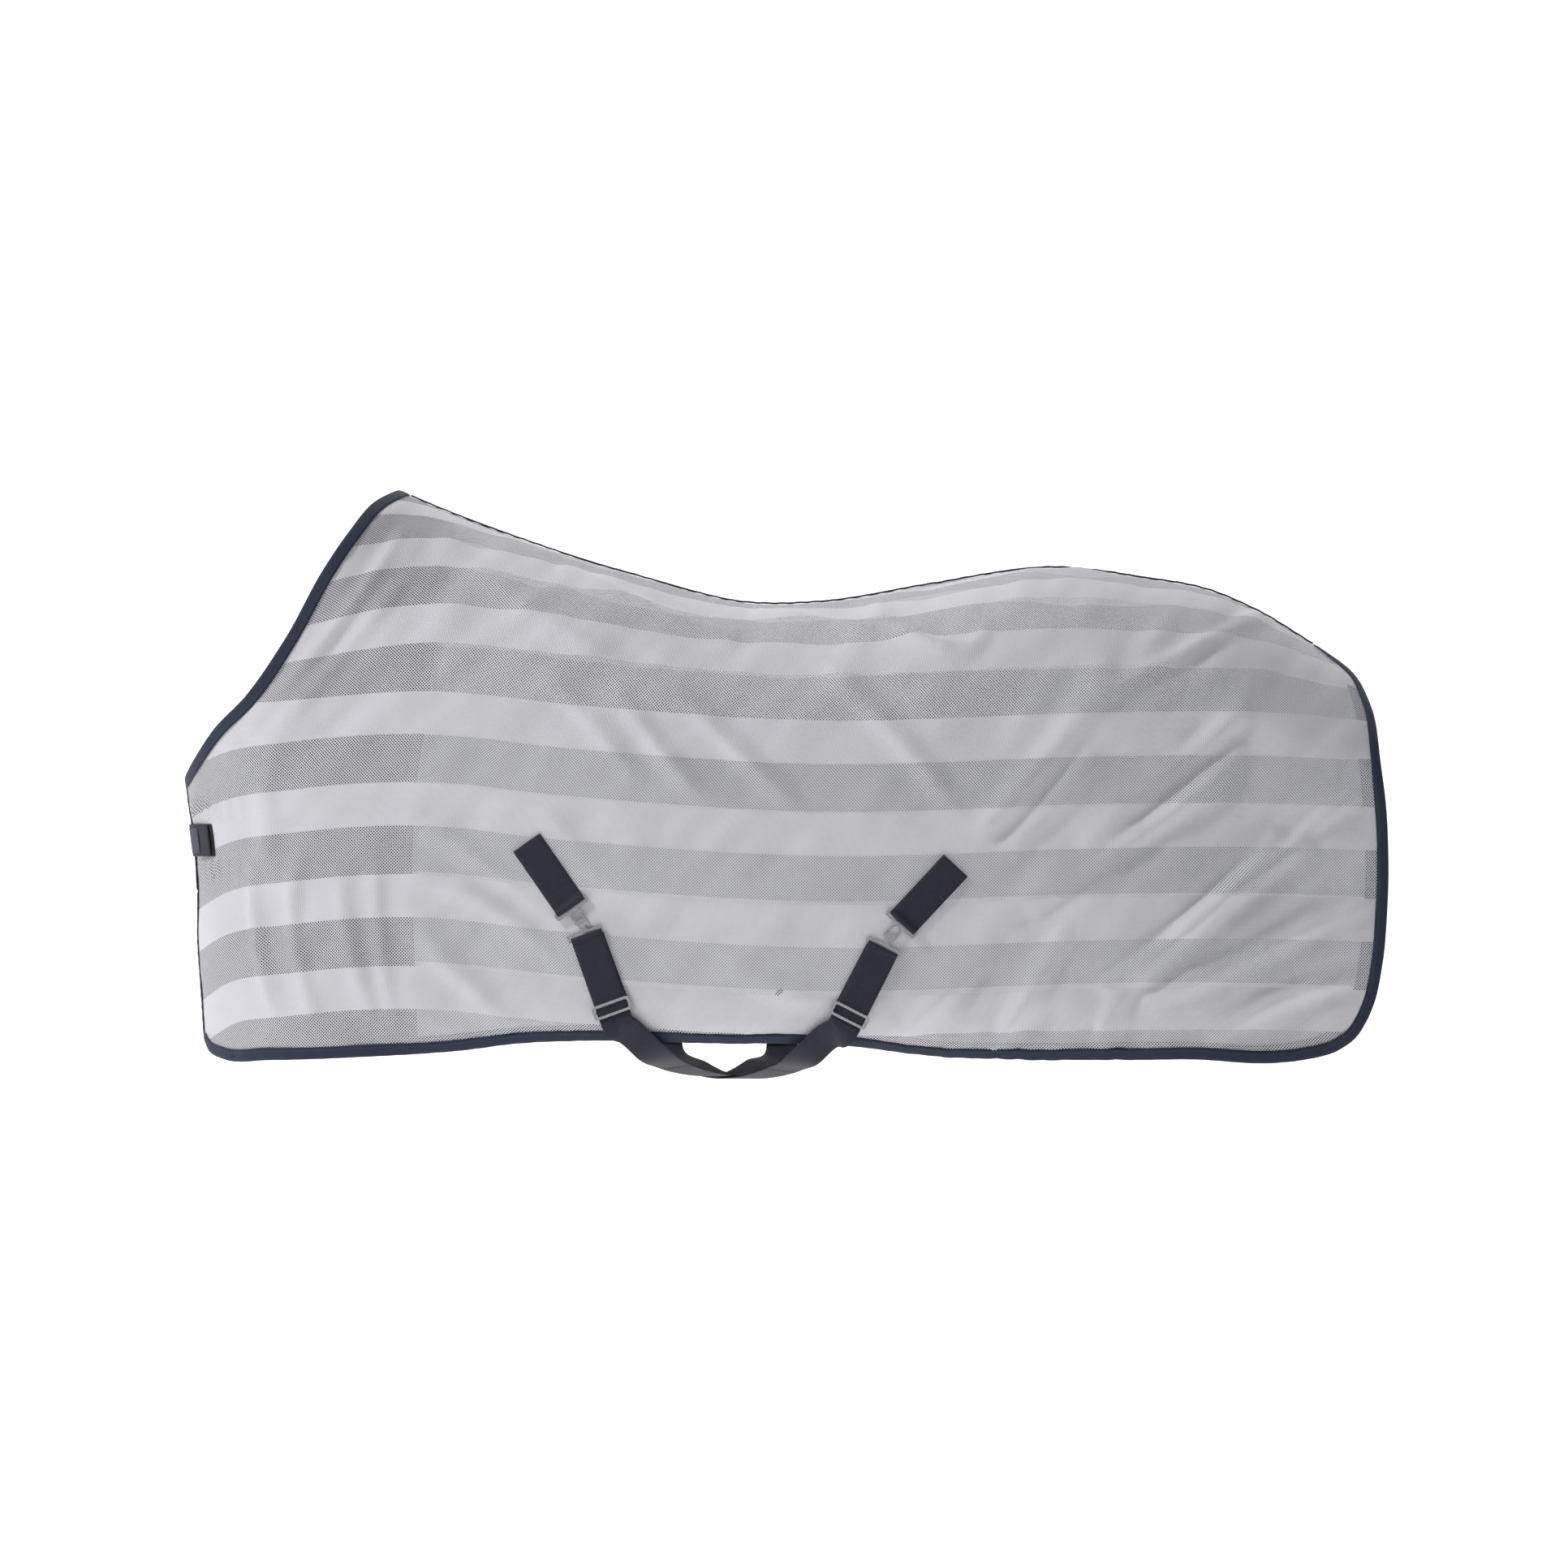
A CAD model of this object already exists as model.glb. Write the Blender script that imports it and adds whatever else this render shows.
"""The fly sheet's looks: banded net cloth, linings, bindings, webbing and metal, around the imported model.

Metres, in the model's own frame: +X towards the tail, -Y towards the horse's left side and +Z up. The
sheet's skin is y = half_width(x, z) on each side of the spine, as in the model.
"""

from math import cos, pi, radians, sin

import bmesh
import bpy
import numpy as np
from mathutils import Matrix, Vector, noise


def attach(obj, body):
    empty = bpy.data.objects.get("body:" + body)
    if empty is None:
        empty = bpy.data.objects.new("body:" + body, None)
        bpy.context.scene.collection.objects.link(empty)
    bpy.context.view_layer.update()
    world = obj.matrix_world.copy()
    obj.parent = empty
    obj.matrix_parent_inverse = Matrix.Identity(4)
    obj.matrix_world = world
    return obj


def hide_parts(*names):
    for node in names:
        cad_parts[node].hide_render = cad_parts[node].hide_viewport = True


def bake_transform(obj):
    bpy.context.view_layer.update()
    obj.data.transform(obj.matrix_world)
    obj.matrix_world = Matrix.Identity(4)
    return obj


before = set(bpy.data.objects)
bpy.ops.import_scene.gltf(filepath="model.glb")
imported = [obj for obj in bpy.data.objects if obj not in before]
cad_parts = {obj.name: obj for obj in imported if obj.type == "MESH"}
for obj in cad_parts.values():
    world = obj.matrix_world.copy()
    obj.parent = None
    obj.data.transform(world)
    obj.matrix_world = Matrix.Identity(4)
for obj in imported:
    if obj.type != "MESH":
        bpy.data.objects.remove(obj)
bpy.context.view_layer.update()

LEFT = -1
RIGHT = 1
SIDES = ((LEFT, "left"), (RIGHT, "right"))

# Outlines of the sheet seen from the side, as (x, z)
SPINE = [(-1.15, 0.48), (-0.9, 0.362), (-0.72, 0.262), (-0.566, 0.176), (-0.4, 0.109), (-0.175, 0.0375),
         (-0.02, 0.001), (0.0875, 0.0025), (0.26, 0.03), (0.45, 0.056), (0.5875, 0.041), (0.7, 0.019),
         (0.775, -0.014), (0.871, -0.0725), (0.92, -0.1), (0.955, -0.137), (0.99, -0.21)]
NECKLINE = [(-0.566, 0.176), (-0.6, 0.156), (-0.6375, 0.109), (-0.675, 0.0525), (-0.7375, -0.06),
            (-0.8, -0.1475), (-0.85, -0.1975), (-0.875, -0.233), (-0.899, -0.2725)]
CHEST = [(-1.19, 0.3), (-1.05, 0.05), (-0.975, -0.1), (-0.925, -0.2), (-0.899, -0.2725),
         (-0.892, -0.32), (-0.884, -0.37), (-0.88, -0.43), (-0.8785, -0.535), (-0.873, -0.61),
         (-0.8687, -0.678), (-0.862, -0.75)]
SEAM = [(-0.476, 0.139), (-0.494, 0.051), (-0.512, -0.04), (-0.53, -0.168), (-0.548, -0.3),
        (-0.5525, -0.43), (-0.55, -0.57), (-0.544, -0.6945)]
HEM = [(-0.8687, -0.678), (-0.858, -0.696), (-0.835, -0.7055), (-0.7625, -0.705), (-0.6125, -0.699),
       (-0.475, -0.69), (-0.3625, -0.6775), (-0.225, -0.674), (-0.0875, -0.6775), (0.1375, -0.6825),
       (0.2625, -0.6975), (0.5625, -0.7035), (0.6625, -0.7025), (0.7875, -0.7085), (0.8375, -0.703),
       (0.8875, -0.6888), (0.915, -0.668), (0.93, -0.645)]
REAR = [(0.871, -0.0725), (0.8975, -0.092), (0.92, -0.116), (0.939, -0.1575), (0.951, -0.2425),
        (0.96, -0.32), (0.9635, -0.404), (0.961, -0.48), (0.954, -0.556), (0.942, -0.615),
        (0.93, -0.645)]
WIDTH = [(-1.2, 0.46), (-0.95, 0.58), (-0.8, 0.68), (-0.65, 0.75), (-0.5, 0.82), (-0.3, 0.9),
         (0.0, 0.98), (0.25, 1.00), (0.5, 0.98), (0.72, 0.89), (0.87, 0.79), (1.02, 0.64)]
ROUNDING = [(-1.2, 0.16), (-0.75, 0.2), (-0.5, 0.26), (-0.25, 0.22), (0.1, 0.19), (0.6, 0.19),
            (0.9, 0.17), (1.02, 0.16)]
TUCK = [(-1.2, 0.0), (-0.55, 0.01), (-0.3, 0.03), (0.0, 0.036), (0.25, 0.034), (0.45, 0.018),
        (0.8, 0.006), (1.02, 0.006)]
BODY_HALF_WIDTH = 0.3
CHEST_ROUNDING = 0.25
TUCK_START = 0.6
TUCK_SPAN = 0.08
FOLD_X = -0.8
CHEST_EDGE = 0.0045
SPINE_EDGE = 0.0004  # the least distance from the middle plane

# The cloth's bands: this line is the middle of one band of open net
BAND_LINE = [(-0.92, -0.31), (-0.88, -0.291), (-0.84, -0.271), (-0.72, -0.251), (-0.53, -0.24),
             (-0.3, -0.262), (0.075, -0.286), (0.54, -0.274), (0.75, -0.2725), (0.97, -0.28)]
BAND_PERIOD = 0.1415
NET_SHARE = 0.53  # of each period
MESH_PITCH = 0.0047
HOLE_EDGE = 0.325  # of the pitch, from a hole's middle
NET_STRETCH = 1.19  # the right side's net is drawn this much finer lengthwise

FOLD_GAIN = 2.1
FOLD_LIMIT = 0.017

# Folds of the cloth on the left side, in millimetres: three points of the crest, its height, its half width
FOLDS_MM = [
    ((-536, -343), (-439, -392), (-318, -489), 6.5, 18),
    ((-542, -422), (-427, -464), (-310, -555), 6, 18),
    ((-536, -505), (-480, -560), (-400, -640), 6, 20),
    ((-476, -283), (-355, -325), (-268, -416), 4, 20),
    ((-488, 100), (-355, -10), (-143, -149), 5, 22),
    ((-300, 50), (-173, -10), (-50, -52), 6, 13),
    ((-215, -150), (-143, -246), (-94, -295), 6, 15),
    ((-120, -150), (-21, -246), (50, -310), 6, 16),
    ((-320, -130), (-250, -200), (-200, -270), 4, 16),
    ((-260, -440), (-100, -455), (120, -450), 8, 38),
    ((-718, -405), (-728, -495), (-694, -632), 6, 14),
    ((-790, -415), (-785, -507), (-755, -626), 5.5, 12),
    ((-650, -430), (-640, -520), (-600, -640), 4.5, 16),
    ((-755, -236), (-770, -325), (-761, -420), 4, 18),
    ((-561, 105), (-670, -52), (-800, -190), 3.5, 12),
    ((-540, 50), (-640, -70), (-760, -215), 3, 14),
    ((-600, -400), (-590, -520), (-570, -650), 3.5, 13),
    ((762, -20), (661, -72), (520, -145), 7, 14),
    ((740, -163), (643, -248), (500, -365), 6.5, 16),
    ((728, -236), (631, -321), (420, -470), 8, 15),
    ((830, -378), (722, -448), (580, -570), 8.5, 16),
    ((905, -300), (831, -357), (735, -460), 5.5, 14),
    ((786, -365), (679, -478), (530, -585), 8, 16),
    ((922, -466), (783, -527), (600, -610), 6, 18),
    ((900, -580), (800, -610), (700, -665), 6, 16),
    ((292, -382), (389, -297), (532, -117), 7, 20),
    ((316, -430), (401, -357), (500, -245), 5, 18),
    ((340, -503), (449, -418), (560, -347), 5, 18),
    ((180, -15), (286, -75), (345, -40), 6, 13),
    ((110, -110), (195, -194), (290, -307), 5.5, 18),
    ((0, -20), (116, -36), (280, -68), 6, 13),
    ((225, -654), (280, -600), (350, -540), 6.5, 18),
    ((364, -678), (401, -612), (460, -517), 6.5, 18),
    ((520, -685), (540, -620), (600, -560), 5, 16),
    ((-40, -560), (40, -600), (140, -610), 5, 22),
]
FOLDS = [[*((x / 1000, z / 1000) for x, z in crest), height / 1000, half / 1000]
         for *crest, height, half in FOLDS_MM]

# Bindings and straps
BINDING_WIDTH = 0.0175
SPINE_TAPE_WIDTH = 0.024
WEBBING_WIDTH = 0.050
WEBBING_PLY = 0.0016
PATCH_LENGTH = 0.122
BUCKLE_BAR = 0.0035
TONGUE_REACH = 0.022
HOOK_REACH = 0.0155
RING_HEIGHT = 2 * BUCKLE_BAR + 0.0015
EYE_HOLE = BUCKLE_BAR / 2 * 1.35 + 0.0006
EYE_OUTSIDE = EYE_HOLE + WEBBING_PLY
BAR_LEVEL = EYE_OUTSIDE + 0.0008
SLIDER_DEPTH = 0.022
STRAPS = {
    "front": {"head": (-0.2790, -0.4920), "patch": 35.0, "strap": 20.0, "drop": 0.1170},
    "rear": {"head": (0.1950, -0.5140), "patch": -43.0, "strap": -27.0, "drop": 0.1120},
}
CROSSING = {"front": (-0.055, -0.7340), "rear": (-0.045, -0.7380)}
PARTNER = {"front": "rear", "rear": "front"}
STRAP_CUT_Y = -0.150
STRAP_OVER_HEM = 0.0080
BELLY_LEAN = 0.026
SEWN_LIFT = 0.0024
SURFACE_GAP = 0.0008

# Chest closure
TAB_Z = -0.367
TAB_HEIGHT = 0.050
CHEST_BLEND = 0.012  # the normals turn smoothly this near the middle plane


# ---- curves and the skin


def lengths(points):
    return np.concatenate([[0.0], np.cumsum(np.linalg.norm(np.diff(points, axis=0), axis=1))])


def unit(vectors):
    return vectors / np.linalg.norm(vectors, axis=-1, keepdims=True)


def directions(points):
    """Unit tangents of a polyline."""
    return unit(np.gradient(points, axis=0))


def square_to(vectors, axes):
    """What is left of the vectors across the axes."""
    return vectors - axes * np.sum(vectors * axes, axis=1, keepdims=True)


def smooth(points, steps=14, places=None):
    """A smooth curve through the points, as a polyline. Only the first `places` numbers are a place."""
    p = np.array(points, float)
    t = lengths(p[:, :places])
    slope = np.gradient(p, t, axis=0)
    out = []
    for i in range(len(p) - 1):
        h = t[i + 1] - t[i]
        s = np.linspace(0, 1, steps, endpoint=False)[:, None]
        out.append((2 * s**3 - 3 * s**2 + 1) * p[i] + (s**3 - 2 * s**2 + s) * h * slope[i]
                   + (3 * s**2 - 2 * s**3) * p[i + 1] + (s**3 - s**2) * h * slope[i + 1])
    return np.vstack([*out, p[-1:]])


SPINE_CURVE = smooth(SPINE)
CHEST_CURVE = smooth(CHEST)[::-1]
WIDTH_CURVE = smooth(WIDTH)
ROUNDING_CURVE = smooth(ROUNDING)
TUCK_CURVE = smooth(TUCK)
HEM_CURVE = smooth(HEM)
BAND_CURVE = smooth(BAND_LINE)


def read(curve, at):
    return np.interp(at, curve[:, 0], curve[:, 1])


def chest_x(z):
    return np.interp(z, CHEST_CURVE[:, 1], CHEST_CURVE[:, 0])


def quarter(u):
    return np.sqrt(1 - (1 - np.clip(u, 0, 1)) ** 2)


def half_width(x, z):
    """The skin's distance from the middle plane at each (x, z)."""
    full = BODY_HALF_WIDTH * read(WIDTH_CURVE, x)
    top = quarter((read(SPINE_CURVE, x) - z) / read(ROUNDING_CURVE, x))
    front = quarter((x - chest_x(z)) / CHEST_ROUNDING)
    turn = np.clip((-TUCK_START - z) / TUCK_SPAN, 0, 1.4)
    return full * top * front - read(TUCK_CURVE, x) * turn**2


def normals(x, z, side):
    """Outward unit normals of the skin."""
    step = 0.0002
    dx = (half_width(x + step, z) - half_width(x - step, z)) / (2 * step)
    dz = (half_width(x, z + step) - half_width(x, z - step)) / (2 * step)
    n = np.stack([-dx, np.full_like(dx, float(side)), -dz], axis=-1)
    return unit(n)


def draped(plane, side, least=0.0):
    plane = np.asarray(plane, float)
    x, z = plane[..., 0], plane[..., 1]
    return np.stack([x, side * np.maximum(half_width(x, z), least), z], axis=-1)


def pick(points, at, positions):
    return np.stack([np.interp(positions, at, points[:, k]) for k in range(points.shape[1])], axis=1)


def even(plane):
    """The same path, with its points evenly spaced on the skin."""
    count = 200
    at = lengths(plane)
    where = np.linspace(0, at[-1], count)
    for _ in range(6):
        on_skin = lengths(draped(pick(plane, at, where), LEFT))
        where = np.interp(np.linspace(0, on_skin[-1], count), on_skin, where)
    return pick(plane, at, where)


def part_of(curve, low, high):
    x = curve[:, 0]
    keep = (x > low + 1e-6) & (x < high - 1e-6)
    ends = [np.array([[v, np.interp(v, x, curve[:, 1])]]) for v in (low, high)]
    return np.vstack([ends[0], curve[keep], ends[1]])


def skin_frame(x, z, angle):
    """A frame on the left skin: across, up the strap, outward."""
    out = Vector(normals(np.array(x), np.array(z), LEFT))
    down = Vector((sin(radians(angle)), 0, -cos(radians(angle))))
    down = (down - out * down.dot(out)).normalized()
    across = (-down).cross(out)
    made = Matrix((across, -down, out)).transposed().to_4x4()
    made.translation = Vector(draped((x, z), LEFT))
    return made


# ---- folds


def crest_distance(x, z, fold):
    """Distance of each (x, z) from a fold's crest, and where along the crest it is nearest."""
    p = np.array(fold[:3], float)
    s = np.linspace(0, 1, 25)[:, None]
    line = (1 - s) ** 2 * p[0] + 2 * s * (1 - s) * (2 * p[1] - (p[0] + p[2]) / 2) + s**2 * p[2]
    best = np.full(x.shape, 9.0)
    share = np.zeros(x.shape)
    for k in range(len(line) - 1):
        a, d = line[k], line[k + 1] - line[k]
        t = np.clip(((x - a[0]) * d[0] + (z - a[1]) * d[1]) / (d @ d), -0.3 if k == 0 else 0, 1)
        away = np.hypot(x - a[0] - t * d[0], z - a[1] - t * d[1])
        nearer = away < best
        best = np.where(nearer, away, best)
        share = np.where(nearer, (k + t) / (len(line) - 1), share)
    return best, np.clip(share, 0, 1)


def wander(x, z, scale, seed):
    """Smooth noise over the cloth, drawn out along the diagonal."""
    along, across = (x + z) / (scale * 2.2), (x - z) / scale
    flat = [noise.noise((a, b, seed)) for a, b in zip(along.ravel(), across.ravel())]
    return np.array(flat).reshape(x.shape)


def edge_gap(x, z):
    """Distance of each (x, z) from the hem, the rear edge and the neckline."""
    outline = np.vstack([smooth(points, 8) for points in (HEM, REAR, NECKLINE)])
    nearest = np.full(x.shape, 9.0)
    for px, pz in outline:
        nearest = np.minimum(nearest, np.hypot(x - px, z - pz))
    return nearest


def relief(plane, side, across):
    """Height of the cloth's folds off the skin. across is the distance from the spine."""
    x, z = plane[..., 0], plane[..., 1]
    height = np.zeros(x.shape)
    for k, fold in enumerate(FOLDS):
        if side == RIGHT:
            shift = 0.06 * sin(2.4 * k)
            crest = [(px + shift, pz + 0.4 * shift) for px, pz in fold[:3]]
            fold = [*crest, fold[3] * (0.8 + 0.3 * cos(k)), fold[4]]
        away, share = crest_distance(x, z, fold)
        taper = np.sqrt(np.clip(np.sin(pi * (0.06 + 0.88 * share)), 0, 1))
        crest = np.exp(-((away / fold[4]) ** 2)) - 0.45 * np.exp(-((away / (2.6 * fold[4])) ** 2))
        height += fold[3] * crest * taper
    height += 0.0050 * wander(x, z, 0.16, 3.7 + side) + 0.0022 * wander(x, z, 0.055, 9.1 + side)
    # Puckers where the binding draws the hem in, and the gathers at the chest tab
    hem_gap = np.abs(z - read(HEM_CURVE, x))
    puckers = 0.0008 * np.sin(x * 2 * pi / 0.031 + 2.0 * wander(x, z, 0.12, 5.0))
    height += puckers * np.exp(-((hem_gap / 0.022) ** 2))
    rise = np.abs(z - TAB_Z) - TAB_HEIGHT / 2
    front = np.exp(-((x + 0.885) / 0.060) ** 2)
    gather = np.cos(across * 2 * pi / 0.019) * np.exp(-((rise - 0.012) / 0.030) ** 2)
    height += 0.0026 * gather * front * np.clip(rise / 0.006, 0, 1)
    quiet = 1 - np.exp(-((across / 0.045) ** 2))
    under_tab = 1 - np.exp(-((np.clip(rise, 0, 1) / 0.010) ** 2)) * np.exp(-((across / 0.125) ** 4))
    height = height * quiet * np.where(x < -0.80, under_tab, 1)
    for word in STRAPS:
        height = height * calm(x, z, word, side)
    height = height * (1 - 0.8 * np.exp(-((edge_gap(x, z) / 0.026) ** 2)))
    return np.clip(FOLD_GAIN * height, -FOLD_LIMIT, FOLD_LIMIT)


def calm(x, z, word, side):
    """Less folding under the buckles and straps, which press the cloth flat."""
    data = STRAPS[word]
    head = np.array(data["head"])
    up = -np.array([sin(radians(data["patch"])), -cos(radians(data["patch"]))])
    down = np.array([sin(radians(data["strap"])), -cos(radians(data["strap"]))])
    ways = ((up, 0, 0.165), (down, 0, 0.200)) if side == LEFT else ((up, -0.24, 0.165),)
    least = np.ones(x.shape)
    for way, low, high in ways:
        t = np.clip((x - head[0]) * way[0] + (z - head[1]) * way[1], low, high)
        away = np.hypot(x - head[0] - t * way[0], z - head[1] - t * way[1])
        least = np.minimum(least, 1 - 0.97 * np.exp(-((away / 0.055) ** 4)))
    return least


# ---- cloth grids


NECK_ROWS = 44
LOW_ROWS = 64
SIDE_COLUMNS = 190
SHOULDER_COLUMNS = 40
FLAP_COLUMNS = 26


def patch(top, bottom, front, rear, columns, down, least):
    """A grid of (x, z) between four edges: rows run from the top edge down and columns along it."""
    top, bottom, front, rear = (even(edge) for edge in (top, bottom, front, rear))
    share = np.linspace(0, 1, len(front))[:, None]
    steps = np.linspace(0, 1, len(top))
    made = []
    for s in np.linspace(0, 1, columns):
        high = pick(top, steps, [s])[0]
        low = pick(bottom, steps, [s])[0]
        line = (1 - share) * high + share * low
        line = line + (1 - s) * (front - (1 - share) * front[0] - share * front[-1])
        line = line + s * (rear - (1 - share) * rear[0] - share * rear[-1])
        line = even(line)
        at = lengths(draped(line, LEFT, least))
        made.append(pick(line, at, down * at[-1]))
    return np.stack(made, axis=1)


def plan_cloth():
    """The (x, z) grids of side, shoulder and flap."""
    neckline = smooth(NECKLINE)
    neckline[-1, 0] = chest_x(neckline[-1, 1])
    seam = smooth(SEAM)
    seam[0, 1] = read(SPINE_CURVE, seam[0, 0])
    seam[-1, 1] = read(HEM_CURVE, seam[-1, 0])
    rear = smooth(REAR)
    rear[0, 1] = read(SPINE_CURVE, rear[0, 0])
    rising = neckline[::-1]
    fold_top = np.array([[FOLD_X, np.interp(FOLD_X, rising[:, 0], rising[:, 1])]])
    fold_low = np.array([[FOLD_X, read(HEM_CURVE, FOLD_X)]])
    fold = fold_top + (fold_low - fold_top) * np.linspace(0, 1, 60)[:, None]
    upper = neckline[neckline[:, 0] > FOLD_X + 1e-6]
    front = np.vstack([upper, fold_top, fold[1:]])
    neck = lengths(draped(np.vstack([upper, fold_top]), LEFT))[-1] / lengths(draped(front, LEFT))[-1]
    down = np.append(np.linspace(0, neck, NECK_ROWS + 1), np.linspace(neck, 1, LOW_ROWS + 1)[1:])

    top = part_of(SPINE_CURVE, seam[0, 0], rear[0, 0])
    bottom = part_of(HEM_CURVE, seam[-1, 0], HEM_CURVE[-1, 0])
    side = patch(top, bottom, seam, rear, SIDE_COLUMNS, down, SPINE_EDGE)
    top = part_of(SPINE_CURVE, neckline[0, 0], seam[0, 0])[::-1]
    bottom = part_of(HEM_CURVE, FOLD_X, seam[-1, 0])[::-1]
    shoulder = patch(top, bottom, seam, front, SHOULDER_COLUMNS, down, SPINE_EDGE)
    chest = np.array([(chest_x(z), z) for z in np.linspace(neckline[-1, 1], HEM_CURVE[0, 1], 80)])
    top = np.vstack([fold_top, neckline[neckline[:, 0] < FOLD_X - 1e-6]])
    bottom = part_of(HEM_CURVE, HEM_CURVE[0, 0], FOLD_X)[::-1]
    flap = patch(top, bottom, fold, chest, FLAP_COLUMNS, np.linspace(0, 1, LOW_ROWS + 1), CHEST_EDGE)
    side[:, 0] = shoulder[:, 0]
    flap[:, 0] = shoulder[NECK_ROWS:, -1]
    return side, shoulder, flap


def grid_normals(points, side):
    """Outward normals of a grid of points."""
    down = np.gradient(points, axis=0)
    along = np.gradient(points, axis=1)
    n = np.cross(down, along)
    n /= np.linalg.norm(n, axis=-1, keepdims=True) + 1e-12
    if n[..., 1].mean() * side < 0:
        n = -n
    return n


def lay_cloth(plans, side):
    """Points, normals and cloth coordinates of the three grids on one side."""
    laid = []
    for k, plane in enumerate(plans):
        base = draped(plane, side, CHEST_EDGE if k == 2 else SPINE_EDGE)
        out = normals(plane[..., 0], plane[..., 1], side)
        out[np.abs(base[..., 1]) < 0.002] *= (1, 0, 1)
        lift = relief(plane, side, np.abs(base[..., 1]))
        points = base + out * lift[..., None]
        points[..., 1] = side * np.maximum(side * points[..., 1], SPINE_EDGE)
        rows = np.concatenate([np.zeros((base.shape[0], 1)),
                               np.cumsum(np.linalg.norm(np.diff(base, axis=1), axis=2), axis=1)], axis=1)
        laid.append({"points": points, "along": rows * (1.0 if side == LEFT else NET_STRETCH)})
        across = np.zeros(base.shape[:2])
        for c in range(base.shape[1]):
            at = lengths(base[:, c])
            above = plane[:, c, 1] - read(BAND_CURVE, plane[:, c, 0])
            across[:, c] = np.interp(0.0, -above, at) - at
        laid[-1]["across"] = across
    laid[1]["along"] = -laid[1]["along"]
    laid[2]["along"] = laid[1]["along"][NECK_ROWS:, -1:] - laid[2]["along"]
    laid[2]["across"] += (laid[1]["across"][NECK_ROWS:, -1] - laid[2]["across"][:, 0])[:, None]
    laid[2]["points"][:, 0] = laid[1]["points"][NECK_ROWS:, -1]
    laid[0]["points"][:, 0] = laid[1]["points"][:, 0]
    return laid


# ---- mesh building


def new_object(name, vertices, faces, coordinates=None, material=None):
    """A mesh object, with cloth coordinates for each vertex as its UV map."""
    mesh = bpy.data.meshes.new(name)
    mesh.from_pydata([tuple(v) for v in vertices], [], faces)
    mesh.update()
    if coordinates is not None:
        layer = mesh.uv_layers.new(name="cloth")
        loops = np.zeros(len(mesh.loops), int)
        mesh.loops.foreach_get("vertex_index", loops)
        layer.data.foreach_set("uv", np.asarray(coordinates, np.float32)[loops].ravel())
    mesh.shade_smooth()
    thing = bpy.data.objects.new(name, mesh)
    bpy.context.scene.collection.objects.link(thing)
    if material is not None:
        mesh.materials.append(material)
    return thing


def merged_grids(name, parts, flips, material):
    """Several grids of points and cloth coordinates as one welded surface."""
    vertices, coordinates, faces = [], [], []
    for (points, along, across), flip in zip(parts, flips):
        start = len(vertices)
        rows, columns = points.shape[:2]
        vertices += list(points.reshape(-1, 3))
        coordinates += list(np.stack([along, across], axis=-1).reshape(-1, 2))
        for r in range(rows - 1):
            for c in range(columns - 1):
                a = start + r * columns + c
                face = (a, a + 1, a + columns + 1, a + columns)
                faces.append(face[::-1] if flip else face)
    thing = new_object(name, vertices, faces, coordinates, material)
    work = bmesh.new()
    work.from_mesh(thing.data)
    bmesh.ops.remove_doubles(work, verts=work.verts, dist=0.00001)
    work.to_mesh(thing.data)
    work.free()
    return thing


def loft(name, sections, material, along, around):
    """A closed strip through sections of equal point count; along and around are its cloth coordinates."""
    sections = np.asarray(sections, float)
    count, ring = sections.shape[:2]
    faces = [tuple(range(ring))[::-1], tuple(range((count - 1) * ring, count * ring))]
    for s in range(count - 1):
        for k in range(ring):
            n = (k + 1) % ring
            faces.append((s * ring + k, s * ring + n, (s + 1) * ring + n, (s + 1) * ring + k))
    coordinates = [(a, b) for a in along for b in around]
    thing = new_object(name, sections.reshape(-1, 3), faces, coordinates, material)
    work = bmesh.new()
    work.from_mesh(thing.data)
    bmesh.ops.recalc_face_normals(work, faces=work.faces)
    work.to_mesh(thing.data)
    work.free()
    return thing


def ribbon_sections(centres, outs, width, ply):
    """Sections of webbing with rounded edges along a path."""
    centres, outs = np.array(centres), np.array(outs)
    tangent = directions(centres)
    outs = unit(square_to(outs, tangent))
    wide = np.cross(tangent, outs)
    half, thick, soft = width / 2, ply / 2, ply * 0.30
    inner = np.linspace(-1, 1, 9)[1:-1] * (half - ply)
    profile = [(-half + soft, thick), *((a, thick) for a in inner), (half - soft, thick),
               (half, thick - soft), (half, -thick + soft), (half - soft, -thick),
               *((a, -thick) for a in inner[::-1]),
               (-half + soft, -thick), (-half, -thick + soft), (-half, thick - soft)]
    sections = [[c + w * a + o * b for a, b in profile] for c, w, o in zip(centres, wide, outs)]
    return sections, [a for a, _ in profile]


def ribbon(name, centres, outs, start=0.0):
    sections, around = ribbon_sections(centres, outs, WEBBING_WIDTH, WEBBING_PLY)
    return loft(name, sections, WEBBING, start + lengths(np.array(centres)), around)


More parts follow.
